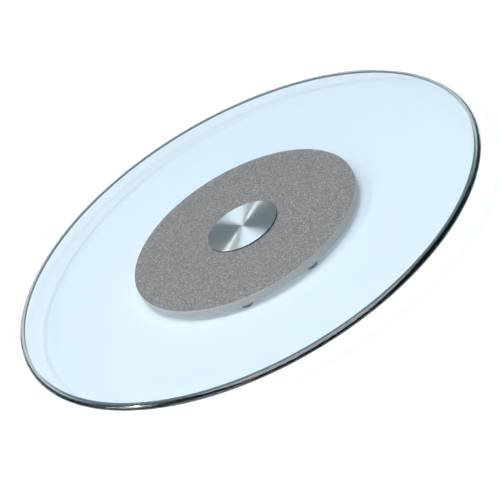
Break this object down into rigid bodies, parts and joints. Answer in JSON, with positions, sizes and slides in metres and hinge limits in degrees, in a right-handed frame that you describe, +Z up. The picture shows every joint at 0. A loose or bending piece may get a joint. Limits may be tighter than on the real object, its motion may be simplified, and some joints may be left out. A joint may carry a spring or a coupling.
{
  "type": "glass turntable",
  "caption": "Round tempered-glass turntable on a low round aluminium base: the top is bonded to a brushed steel hub disc and spins freely on a thrust ball bearing above rubber feet.",
  "frame": {"origin": "on the spin axis, on the surface that the rubber feet stand on", "axes": "+Z up along the spin axis; -Y is the front, which the first two feet straddle; +X to the right"},
  "size_m": [0.6, 0.6, 0.0263],
  "materials": {
    "glass": "clear tempered float glass with a polished round edge and a faint blue-green tint",
    "adhesive": "clear cured bonding film",
    "brushed_stainless": "circular brushed stainless steel",
    "sparkle_aluminium": "fine bead-blasted sparkle silver-grey",
    "machined_aluminium": "turned",
    "bearing_steel": "ground and polished bearing steel",
    "zinc_steel": "bright zinc plate",
    "nylon": "moulded white nylon",
    "bronze": "sintered, oiled",
    "black_plastic": "moulded, satin",
    "rubber": "grey moulded rubber"
  },
  "bodies": {
    "base": {"base_plate": "sparkle_aluminium", "lower_race": "bearing_steel", "spindle_bush": "bronze", "wear_washer": "nylon", "dust_cap": "black_plastic", "foot_01": "rubber", "foot_02": "rubber", "foot_03": "rubber", "foot_04": "rubber", "foot_05": "rubber", "foot_06": "rubber", "foot_07": "rubber", "foot_08": "rubber"},
    "turntable": {"glass_top": "glass", "adhesive_film": "adhesive", "hub_disc": "brushed_stainless", "rotor_hub": "machined_aluminium", "upper_race": "bearing_steel", "retaining_washer": "zinc_steel", "retaining_screw": "zinc_steel"},
    "ball_cage": {"ball_cage": "nylon"},
    "ball_01": {"ball_01": "bearing_steel"},
    "ball_02": {"ball_02": "bearing_steel"},
    "ball_03": {"ball_03": "bearing_steel"},
    "ball_04": {"ball_04": "bearing_steel"},
    "ball_05": {"ball_05": "bearing_steel"},
    "ball_06": {"ball_06": "bearing_steel"},
    "ball_07": {"ball_07": "bearing_steel"},
    "ball_08": {"ball_08": "bearing_steel"},
    "ball_09": {"ball_09": "bearing_steel"},
    "ball_10": {"ball_10": "bearing_steel"},
    "ball_11": {"ball_11": "bearing_steel"},
    "ball_12": {"ball_12": "bearing_steel"},
    "ball_13": {"ball_13": "bearing_steel"},
    "ball_14": {"ball_14": "bearing_steel"},
    "ball_15": {"ball_15": "bearing_steel"},
    "ball_16": {"ball_16": "bearing_steel"}
  },
  "joints": [
    {"name": "turntable_spin", "type": "hinge", "parent": "base", "child": "turntable", "pos_m": [0, 0, 0.0183], "axis": [0, 0, 1], "continuous": true},
    {"name": "cage_spin", "type": "hinge", "parent": "base", "child": "ball_cage", "pos_m": [0, 0, 0.0093], "axis": [0, 0, 1], "continuous": true},
    {"name": "ball_01_roll", "type": "hinge", "parent": "ball_cage", "child": "ball_01", "pos_m": [0.0332, 0, 0.0093], "axis": [1, 0, 0], "continuous": true},
    {"name": "ball_02_roll", "type": "hinge", "parent": "ball_cage", "child": "ball_02", "pos_m": [0.03067, 0.01271, 0.0093], "axis": [0.9239, 0.3827, 0], "continuous": true},
    {"name": "ball_03_roll", "type": "hinge", "parent": "ball_cage", "child": "ball_03", "pos_m": [0.02348, 0.02348, 0.0093], "axis": [0.7071, 0.7071, 0], "continuous": true},
    {"name": "ball_04_roll", "type": "hinge", "parent": "ball_cage", "child": "ball_04", "pos_m": [0.01271, 0.03067, 0.0093], "axis": [0.3827, 0.9239, 0], "continuous": true},
    {"name": "ball_05_roll", "type": "hinge", "parent": "ball_cage", "child": "ball_05", "pos_m": [0, 0.0332, 0.0093], "axis": [0, 1, 0], "continuous": true},
    {"name": "ball_06_roll", "type": "hinge", "parent": "ball_cage", "child": "ball_06", "pos_m": [-0.01271, 0.03067, 0.0093], "axis": [-0.3827, 0.9239, 0], "continuous": true},
    {"name": "ball_07_roll", "type": "hinge", "parent": "ball_cage", "child": "ball_07", "pos_m": [-0.02348, 0.02348, 0.0093], "axis": [-0.7071, 0.7071, 0], "continuous": true},
    {"name": "ball_08_roll", "type": "hinge", "parent": "ball_cage", "child": "ball_08", "pos_m": [-0.03067, 0.01271, 0.0093], "axis": [-0.9239, 0.3827, 0], "continuous": true},
    {"name": "ball_09_roll", "type": "hinge", "parent": "ball_cage", "child": "ball_09", "pos_m": [-0.0332, 0, 0.0093], "axis": [-1, 0, 0], "continuous": true},
    {"name": "ball_10_roll", "type": "hinge", "parent": "ball_cage", "child": "ball_10", "pos_m": [-0.03067, -0.01271, 0.0093], "axis": [-0.9239, -0.3827, 0], "continuous": true},
    {"name": "ball_11_roll", "type": "hinge", "parent": "ball_cage", "child": "ball_11", "pos_m": [-0.02348, -0.02348, 0.0093], "axis": [-0.7071, -0.7071, 0], "continuous": true},
    {"name": "ball_12_roll", "type": "hinge", "parent": "ball_cage", "child": "ball_12", "pos_m": [-0.01271, -0.03067, 0.0093], "axis": [-0.3827, -0.9239, 0], "continuous": true},
    {"name": "ball_13_roll", "type": "hinge", "parent": "ball_cage", "child": "ball_13", "pos_m": [0, -0.0332, 0.0093], "axis": [0, -1, 0], "continuous": true},
    {"name": "ball_14_roll", "type": "hinge", "parent": "ball_cage", "child": "ball_14", "pos_m": [0.01271, -0.03067, 0.0093], "axis": [0.3827, -0.9239, 0], "continuous": true},
    {"name": "ball_15_roll", "type": "hinge", "parent": "ball_cage", "child": "ball_15", "pos_m": [0.02348, -0.02348, 0.0093], "axis": [0.7071, -0.7071, 0], "continuous": true},
    {"name": "ball_16_roll", "type": "hinge", "parent": "ball_cage", "child": "ball_16", "pos_m": [0.03067, -0.01271, 0.0093], "axis": [0.9239, -0.3827, 0], "continuous": true}
  ],
  "couplings": [
    {"joint": "cage_spin", "follows": "turntable_spin", "ratio": 0.5},
    {"joint": "ball_01_roll", "follows": "turntable_spin", "ratio": -6.64},
    {"joint": "ball_02_roll", "follows": "turntable_spin", "ratio": -6.64},
    {"joint": "ball_03_roll", "follows": "turntable_spin", "ratio": -6.64},
    {"joint": "ball_04_roll", "follows": "turntable_spin", "ratio": -6.64},
    {"joint": "ball_05_roll", "follows": "turntable_spin", "ratio": -6.64},
    {"joint": "ball_06_roll", "follows": "turntable_spin", "ratio": -6.64},
    {"joint": "ball_07_roll", "follows": "turntable_spin", "ratio": -6.64},
    {"joint": "ball_08_roll", "follows": "turntable_spin", "ratio": -6.64},
    {"joint": "ball_09_roll", "follows": "turntable_spin", "ratio": -6.64},
    {"joint": "ball_10_roll", "follows": "turntable_spin", "ratio": -6.64},
    {"joint": "ball_11_roll", "follows": "turntable_spin", "ratio": -6.64},
    {"joint": "ball_12_roll", "follows": "turntable_spin", "ratio": -6.64},
    {"joint": "ball_13_roll", "follows": "turntable_spin", "ratio": -6.64},
    {"joint": "ball_14_roll", "follows": "turntable_spin", "ratio": -6.64},
    {"joint": "ball_15_roll", "follows": "turntable_spin", "ratio": -6.64},
    {"joint": "ball_16_roll", "follows": "turntable_spin", "ratio": -6.64}
  ]
}
